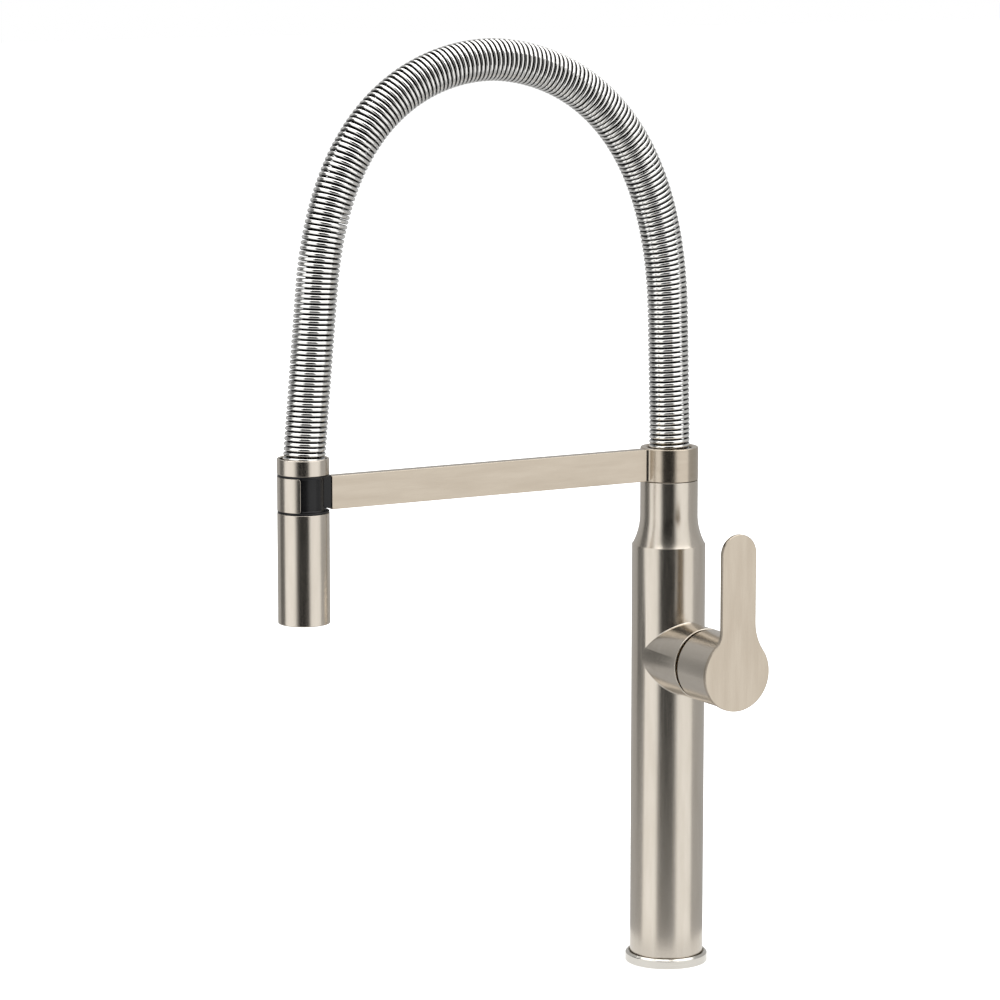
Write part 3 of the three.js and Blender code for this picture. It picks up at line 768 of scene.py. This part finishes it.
def springLine(foot, end):  # the centreline in mm, as (distance out along the arm, height)
    line = archLine
    start, near, apex = (Vector(line[key]) for key in ("legFoot", "nearLeg", "apex"))
    leg, last = Vector(line["farLeg"]), Vector(line["end"])
    up = (near - start).normalized()
    down = (last - leg).normalized()
    rise = bezierPoints(near, near + up * line["rise"], apex - Vector((line["lead"], 0)), apex, 60)
    fall = bezierPoints(apex, apex + Vector((line["tail"], 0)), leg - down * line["drop"], leg, 60)
    tip = leg + down * ((leg.y - end) / -down.y)
    return [Vector((0, foot)), start] + rise + fall[1:] + [tip]


def centreCurve(name, foot, end):
    curve = bpy.data.curves.new(name, "CURVE")
    curve.dimensions = "3D"
    points = springLine(foot, end)
    spline = curve.splines.new("POLY")
    spline.points.add(len(points) - 1)
    for place, point in zip(spline.points, points):
        place.co = (0, -point.x * mm, point.y * mm, 1)
    return objectFrom(name, curve), points


def lengthOf(points):
    return sum((b - a).length for a, b in zip(points, points[1:]))


def coilTree():  # winds round a curve: each resampled point steps out to the coil's radius and turns
    tree = bpy.data.node_groups.new("coilSpring", "GeometryNodeTree")
    face = tree.interface
    face.new_socket("Geometry", in_out="INPUT", socket_type="NodeSocketGeometry")
    for name, kind in (("Turns", "Float"), ("Points per turn", "Int"), ("Coil radius", "Float"),
                       ("Wire radius", "Float"), ("Wire sides", "Int")):
        face.new_socket(name, in_out="INPUT", socket_type="NodeSocket" + kind)
    face.new_socket("Steel", in_out="INPUT", socket_type="NodeSocketMaterial")
    face.new_socket("Geometry", in_out="OUTPUT", socket_type="NodeSocketGeometry")
    make, link = tree.nodes.new, tree.links.new
    given, result = make("NodeGroupInput"), make("NodeGroupOutput")

    def math2(operation, first, second):
        node = make("ShaderNodeMath")
        node.operation = operation
        for socket, value in zip(node.inputs, (first, second)):
            if isinstance(value, (int, float)):
                socket.default_value = value
            else:
                link(value, socket)
        return node.outputs[0]

    def scaled(vector, factor):
        node = make("ShaderNodeVectorMath")
        node.operation = "SCALE"
        link(vector, node.inputs[0])
        link(factor, node.inputs["Scale"])
        return node.outputs[0]

    count = math2("MULTIPLY", given.outputs["Turns"], given.outputs["Points per turn"])
    resample = make("GeometryNodeResampleCurve")
    link(given.outputs["Geometry"], resample.inputs["Curve"])
    link(count, resample.inputs["Count"])
    index = make("GeometryNodeInputIndex")
    step = math2("DIVIDE", 2 * math.pi, given.outputs["Points per turn"])
    angle = math2("MULTIPLY", index.outputs[0], step)
    tangent = make("GeometryNodeInputTangent")
    sideways = make("FunctionNodeInputVector")
    sideways.vector = (1, 0, 0)
    cross = make("ShaderNodeVectorMath")
    cross.operation = "CROSS_PRODUCT"
    link(tangent.outputs[0], cross.inputs[0])
    link(sideways.outputs[0], cross.inputs[1])
    cosine = math2("MULTIPLY", math2("COSINE", angle, 0), given.outputs["Coil radius"])
    sine = math2("MULTIPLY", math2("SINE", angle, 0), given.outputs["Coil radius"])
    total = make("ShaderNodeVectorMath")
    link(scaled(cross.outputs[0], cosine), total.inputs[0])
    link(scaled(sideways.outputs[0], sine), total.inputs[1])
    total.operation = "SUBTRACT"
    move = make("GeometryNodeSetPosition")
    link(resample.outputs[0], move.inputs["Geometry"])
    link(total.outputs[0], move.inputs["Offset"])
    circle = make("GeometryNodeCurvePrimitiveCircle")
    link(given.outputs["Wire sides"], circle.inputs["Resolution"])
    link(given.outputs["Wire radius"], circle.inputs["Radius"])
    sweep = make("GeometryNodeCurveToMesh")
    sweep.inputs["Fill Caps"].default_value = True
    link(move.outputs[0], sweep.inputs["Curve"])
    link(circle.outputs[0], sweep.inputs["Profile Curve"])
    smooth = make("GeometryNodeSetShadeSmooth")
    link(sweep.outputs[0], smooth.inputs[0])
    axis = make("GeometryNodeCurveToMesh")
    link(given.outputs["Geometry"], axis.inputs["Curve"])
    nearest = make("GeometryNodeProximity")
    nearest.target_element = "EDGES"
    link(axis.outputs[0], nearest.inputs[0])
    outwards = math2("SUBTRACT", nearest.outputs["Distance"], given.outputs["Coil radius"])
    crest = make("GeometryNodeStoreNamedAttribute")  # 1 on the outside of the wire, -1 on the inside; the steel paints shade on the inner sides from it
    crest.data_type = "FLOAT"
    crest.domain = "POINT"
    crest.inputs["Name"].default_value = "crest"
    link(smooth.outputs[0], crest.inputs["Geometry"])
    link(math2("DIVIDE", outwards, given.outputs["Wire radius"]), crest.inputs["Value"])
    realize = make("GeometryNodeRealizeInstances")
    link(crest.outputs[0], realize.inputs[0])
    paint = make("GeometryNodeSetMaterial")
    link(realize.outputs[0], paint.inputs["Geometry"])
    link(given.outputs["Steel"], paint.inputs["Material"])
    link(paint.outputs[0], result.inputs[0])
    return tree


def applyNodes(carrier, tree, values):  # sets the named inputs, and returns the result as a mesh
    modifier = carrier.modifiers.new(tree.name, "NODES")
    modifier.node_group = tree
    for socket in tree.interface.items_tree:
        if socket.in_out == "INPUT" and socket.name in values:
            modifier[socket.identifier] = values[socket.name]
    mesh = evaluatedMesh(carrier)
    bpy.data.objects.remove(carrier)
    return mesh


def makeSpring():
    sizes = springSizes
    carrier, points = centreCurve("springLine", sizes["foot"], sizes["end"])
    mesh = applyNodes(carrier, coilTree(), {
        "Turns": lengthOf(points) / sizes["pitch"],
        "Points per turn": sizes["perTurn"],
        "Coil radius": sizes["coil"] * mm,
        "Wire radius": sizes["wire"] * mm,
        "Wire sides": sizes["sides"],
        "Steel": springSteel,
    })
    coil = objectFrom("supportSpring", mesh)
    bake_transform(coil)
    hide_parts("support_spring")


def makeHose():
    sizes = hoseSizes
    points = springLine(sizes["foot"], sizes["end"])
    work = bmesh.new()
    rings = []
    for k, point in enumerate(points):
        before, after = points[max(k - 1, 0)], points[min(k + 1, len(points) - 1)]
        along = (after - before).normalized()
        outwards = Vector((-along.y, along.x))
        pair = []
        for radius in (sizes["radius"], sizes["bore"]):
            ringOf = []
            for j in range(sizes["sides"]):
                turn = 2 * math.pi * j / sizes["sides"]
                flat = point + outwards * radius * math.cos(turn)
                ringOf.append(work.verts.new((radius * math.sin(turn) * mm, -flat.x * mm, flat.y * mm)))
            pair.append(ringOf)
        rings.append(pair)
    sides = sizes["sides"]
    for low, high in zip(rings, rings[1:]):
        for j in range(sides):
            follow = (j + 1) % sides
            work.faces.new((low[0][j], low[0][follow], high[0][follow], high[0][j]))
            work.faces.new((low[1][follow], low[1][j], high[1][j], high[1][follow]))
    for ends in (rings[0], rings[-1]):
        for j in range(sides):
            follow = (j + 1) % sides
            work.faces.new((ends[0][j], ends[1][j], ends[1][follow], ends[0][follow]))
    bmesh.ops.recalc_face_normals(work, faces=work.faces)
    hose = objectFrom("innerHose", meshFrom(work, "innerHose"))
    hose.data.materials.append(hoseRubber)
    for face in hose.data.polygons:
        face.use_smooth = True
    hose.data.set_sharp_from_angle(angle=math.radians(40))
    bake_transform(hose)
    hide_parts("inner_hose")


makeSpring()
makeHose()
print("spring and hose ready")


# spray head

headLook = {
    "collarMouth": 13.9, "collarHole": 6.6, "collarWeb": 325,
    "coreWall": 13.5, "coreFoot": 252, "coreBore": 10.5, "sleeveBore": 13.9, "flangeInset": 0.15,
    "socket": 6.5, "socketFloor": 312, "waterWay": 4, "waterTop": 296,
    "piston": {"bore": 3.4, "height": 308, "from": 16, "to": 5.6},
    "strike": {"halfWidth": 3.3, "back": 9.1, "front": 13.5, "low": 305.7, "high": 318.3},
}
buttonLook = {"skin": 1.5, "halfAngle": 57, "corner": 1.4, "edge": 0.22, "steps": 72}


def makeHeadCollar():
    look = headLook
    low, high = lowZ("head_collar"), highZ("head_collar")
    radius = (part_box("head_collar")[1][0]) / mm
    collar = turnedPiece("headCollar", [
        (look["collarHole"], low), (radius, low, 0.4), (radius, high, 0.6),
        (look["collarMouth"] + 0.5, high, 0.15), (look["collarMouth"], high - 0.7),
        (look["collarMouth"], look["collarWeb"]),
        (look["collarHole"], look["collarWeb"])], 160, "z", headAxis)
    finishPiece(collar, brushedUpright, "hose_end", "head_collar")


def makeHeadCore():
    look = headLook
    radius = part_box("head_sleeve")[1][0] / mm - look["flangeInset"]
    foot = highZ("head_sleeve") + look["flangeInset"]
    top = lowZ("head_collar") - look["flangeInset"]
    core = turnedPiece("headCore", [
        (look["coreBore"], look["coreFoot"]), (look["coreWall"], look["coreFoot"], 0.3),
        (look["coreWall"], foot), (radius, foot, 0.3), (radius, waistLow, 0.4),
        *waistPoints(dockLook, waistLow, waistHigh), (radius, waistHigh, 0.4), (radius, top, 0.3),
        (look["socket"], top), (look["socket"], look["socketFloor"]),
        (look["waterWay"], look["socketFloor"]), (look["waterWay"], look["waterTop"]),
        (look["coreBore"], look["waterTop"])], 160, "z", headAxis)
    piston = look["piston"]
    wide, start, end = piston["bore"], -piston["from"], piston["to"]
    boreLine = [Vector(point) for point in ((0, start), (wide, start), (wide, end), (0, end))]
    bore = turnedMesh("bore", boreLine, 48)
    bore.transform(Matrix.Rotation(math.radians(-90), 4, "X"))
    bore.transform(Matrix.Translation((0, headAxis[1], piston["height"] * mm)))
    strike = look["strike"]
    half, shift = strike["halfWidth"], headAxis[1] / mm
    slotBox = boxPiece("slot", (-half, shift + strike["back"], strike["low"]),
                       (half, shift + strike["front"], strike["high"]))
    carve(core, objectFrom("bore", bore), slotBox)
    finishPiece(core, blackPlastic, "spray_head", "head_core")


def makeButton():  # a flat plate with round corners, bent round the head
    look = buttonLook
    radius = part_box("head_sleeve")[1][0] / mm
    low, high = lowZ("spray_button"), highZ("spray_button")
    half = math.radians(look["halfAngle"]) * radius
    corners = ((-half, low), (half, low), (half, high), (-half, high))
    rim = roundedOutline([(*corner, look["corner"]) for corner in corners], 8)
    work = bmesh.new()
    front = work.faces.new([work.verts.new((point.x, 0, point.y)) for point in rim])
    raised = bmesh.ops.extrude_face_region(work, geom=[front])
    backs = [part for part in raised["geom"] if isinstance(part, bmesh.types.BMVert)]
    bmesh.ops.translate(work, verts=backs, vec=(0, look["skin"], 0))
    rimEdges = [edge for edge in work.edges if all(vert.co.y < 0.001 for vert in edge.verts)]
    bmesh.ops.bevel(
        work, geom=rimEdges, offset=look["edge"], segments=3, profile=0.5, affect="EDGES", clamp_overlap=True)
    for k in range(1, look["steps"]):
        bmesh.ops.bisect_plane(
            work, geom=[*work.verts, *work.edges, *work.faces], dist=1e-5,
            plane_co=(half * (2 * k / look["steps"] - 1), 0, 0), plane_no=(1, 0, 0))
    for vert in work.verts:
        angle = vert.co.x / radius - math.pi / 2
        out = (radius - vert.co.y) * mm
        vert.co = (out * math.cos(angle), headAxis[1] + out * math.sin(angle), vert.co.z * mm)
    bmesh.ops.recalc_face_normals(work, faces=work.faces)
    button = objectFrom("sprayButton", meshFrom(work, "sprayButton"))
    finishPiece(button, brushedUpright, "button", "spray_button")


def makeSleeve():
    look = headLook
    low, high = lowZ("head_sleeve"), highZ("head_sleeve")
    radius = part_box("head_sleeve")[1][0] / mm
    sleeve = turnedPiece("headSleeve", [
        (look["sleeveBore"], low + 0.3, 0.1), (radius, low, 0.7), (radius, high, 0.35),
        (look["sleeveBore"], high)], 160, "z", headAxis)
    finishPiece(sleeve, brushedUpright, "spray_head", "head_sleeve")


faceLook = {
    "bore": 9, "edge": 0.5, "groove": 0.35, "rings": {"outerNozzles": (12.4, 20), "innerNozzles": (10.5, 16)},
    "nozzle": 0.62, "nozzleTip": 0.38, "nozzleHeight": 1.1,
}
aeratorLook = {"hole": 1.5, "edge": 0.4, "ledge": 1.2, "rim": 0.8}


def nozzleTree():  # small cones, tip down, at even steps round a circle
    tree = bpy.data.node_groups.new("nozzles", "GeometryNodeTree")
    for name, kind in (("Geometry", "Geometry"), ("Ring radius", "Float"), ("Count", "Int"),
                       ("Base radius", "Float"), ("Tip radius", "Float"), ("Height", "Float"),
                       ("Rubber", "Material")):
        tree.interface.new_socket(name, in_out="INPUT", socket_type="NodeSocket" + kind)
    tree.interface.new_socket("Geometry", in_out="OUTPUT", socket_type="NodeSocketGeometry")
    make, link = tree.nodes.new, tree.links.new
    given, result = make("NodeGroupInput"), make("NodeGroupOutput")
    circle = make("GeometryNodeMeshCircle")
    link(given.outputs["Count"], circle.inputs["Vertices"])
    link(given.outputs["Ring radius"], circle.inputs["Radius"])
    cone = make("GeometryNodeMeshCone")
    cone.inputs["Vertices"].default_value = 20
    link(given.outputs["Tip radius"], cone.inputs["Radius Top"])
    link(given.outputs["Base radius"], cone.inputs["Radius Bottom"])
    link(given.outputs["Height"], cone.inputs["Depth"])
    spread = make("GeometryNodeInstanceOnPoints")
    spread.inputs["Rotation"].default_value = (math.pi, 0, 0)
    link(circle.outputs["Mesh"], spread.inputs["Points"])
    link(cone.outputs["Mesh"], spread.inputs["Instance"])
    realize = make("GeometryNodeRealizeInstances")
    link(spread.outputs[0], realize.inputs[0])
    paint = make("GeometryNodeSetMaterial")
    link(realize.outputs[0], paint.inputs["Geometry"])
    link(given.outputs["Rubber"], paint.inputs["Material"])
    link(paint.outputs[0], result.inputs[0])
    return tree


def makeSprayFace():
    look = faceLook
    low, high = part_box("spray_face")
    outer = high[0] / mm
    start, end = low[2] / mm, high[2] / mm
    inner = look["bore"]
    face = turnedPiece("sprayFace", [
        (inner, start, look["edge"]), (11.2, start), (11.3, start + look["groove"]),
        (11.6, start + look["groove"]), (11.7, start), (outer, start, look["edge"]), (outer, end),
        (inner, end)], 128, "z", headAxis)
    tree = nozzleTree()
    for name, (ringRadius, count) in look["rings"].items():
        carrier = objectFrom(name, bpy.data.meshes.new(name))
        mesh = applyNodes(carrier, tree, {
            "Ring radius": ringRadius * mm,
            "Count": count,
            "Base radius": look["nozzle"] * mm,
            "Tip radius": look["nozzleTip"] * mm,
            "Height": look["nozzleHeight"] * mm,
            "Rubber": blackPlastic,
        })
        mesh.transform(Matrix.Translation((0, headAxis[1], (start + 0.5) * mm)))
        addMeshes(face, mesh)
    finishPiece(face, blackPlastic, "spray_head", "spray_face")


def makeAerator():
    look = aeratorLook
    low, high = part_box("aerator")
    outer = high[0] / mm
    start, end = low[2] / mm, high[2] / mm
    inner, rim, ledge = look["hole"], outer - look["rim"], start + look["ledge"]
    aerator = turnedPiece("aerator", [
        (inner, ledge), (rim, ledge), (rim, start, 0.2), (outer, start, look["edge"]), (outer, end),
        (inner, end)], 96, "z", headAxis)
    finishPiece(aerator, palePlastic, "spray_head", "aerator")


makeHeadCollar()
makeHeadCore()
makeButton()
makeSleeve()
makeSprayFace()
makeAerator()
print("spray head ready")


# lever

hubLook = {
    "bore": 19.5, "web": 64.8, "chamfer": 0.65, "screwHole": 2.2, "screwAt": 71,
    "socket": {"halfHeight": 3.1, "halfWidth": 3.3, "to": 73.4},
}
plateLook = {
    "disc": 22.7, "edge": 0.4,
    "halfWidth": 12, "length": 84.6, "offset": 0.9, "leftFillet": 12.8, "rightFillet": 30,  # the blade
}
screwLook = {"radius": 1.9, "top": 9.4, "bottom": 3.4, "key": 1.15, "keyDepth": 2.2}


def makeHub():
    look = hubLook
    low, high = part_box("handle_hub")
    start, end = low[0] / mm, high[0] / mm
    radius = high[1] / mm
    hub = turnedPiece("handleHub", [
        (0, look["web"]), (look["bore"], look["web"], 1), (look["bore"], start, 0.3),
        (radius - look["chamfer"], start, 0.25), (radius, start + look["chamfer"], 0.4), (radius, end, 0.3),
        (0, end)], 192, "x", leverAxis)
    half, width = look["socket"]["halfHeight"], look["socket"]["halfWidth"]
    height = leverAxis[2] / mm
    socket = boxPiece("socket", (look["web"] - 1, -width, height - half),
                      (look["socket"]["to"], width, height + half))
    screwHole = look["screwHole"]
    hole = turnedPiece("hole", [(0, -30), (screwHole, -30), (screwHole, -2), (0, -2)], 48,
                       "z", (look["screwAt"] * mm, 0, leverAxis[2]))
    carve(hub, socket, hole)
    finishPiece(hub, brushedHub, "lever", "handle_hub")


def makePlate():
    look = plateLook
    low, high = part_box("lever_plate")
    offset, leftFillet, rightFillet = look["offset"], look["leftFillet"], look["rightFillet"]
    rightX = look["halfWidth"] + rightFillet + offset
    leftX = -look["halfWidth"] - leftFillet + offset
    rightY = math.sqrt((look["disc"] + rightFillet) ** 2 - rightX ** 2)
    leftY = math.sqrt((look["disc"] + leftFillet) ** 2 - leftX ** 2)
    right = math.degrees(math.atan2(rightY, rightX))
    left = math.degrees(math.atan2(leftY, leftX))
    outline = arcOf((0, 0), look["disc"], left, 360 + right, 120)
    outline += arcOf((rightX, rightY), rightFillet, 180 + right, 180, 24)[1:]
    outline += arcOf((offset, look["length"] - look["halfWidth"]), look["halfWidth"], 0, 180, 48)
    outline += arcOf((leftX, leftY), leftFillet, 0, left - 180, 20)[:-1]
    plate = plateFrom("leverPlate", outline, low[0] / mm, high[0] / mm)
    upright = Matrix(((0, 0, 1, 0), (1, 0, 0, 0), (0, 1, 0, 0), (0, 0, 0, 1)))
    plate.data.transform(Matrix.Translation(leverAxis) @ upright)
    softenEdges(plate, look["edge"], 4, 40)
    finishPiece(plate, bladeNickelPaintedShade, "lever", "lever_plate", 60)


def makeScrew():
    look = screwLook
    place = (hubLook["screwAt"] * mm, 0, leverAxis[2])
    screw = turnedPiece("setScrew", [
        (0, -look["top"]), (look["radius"], -look["top"], 0.3), (look["radius"], -look["bottom"], 0.5),
        (0, -look["bottom"])], 48, "z", place)
    above, floor = -look["top"] - 1, -look["top"] + look["keyDepth"]
    key = turnedPiece("key", [
        (0, above), (look["key"], above), (look["key"], floor), (0, floor)], 6, "z", place)
    carve(screw, key)
    finishPiece(screw, brightSteel, "lever", "set_screw")


makeHub()
makePlate()
makeScrew()
print("lever ready")
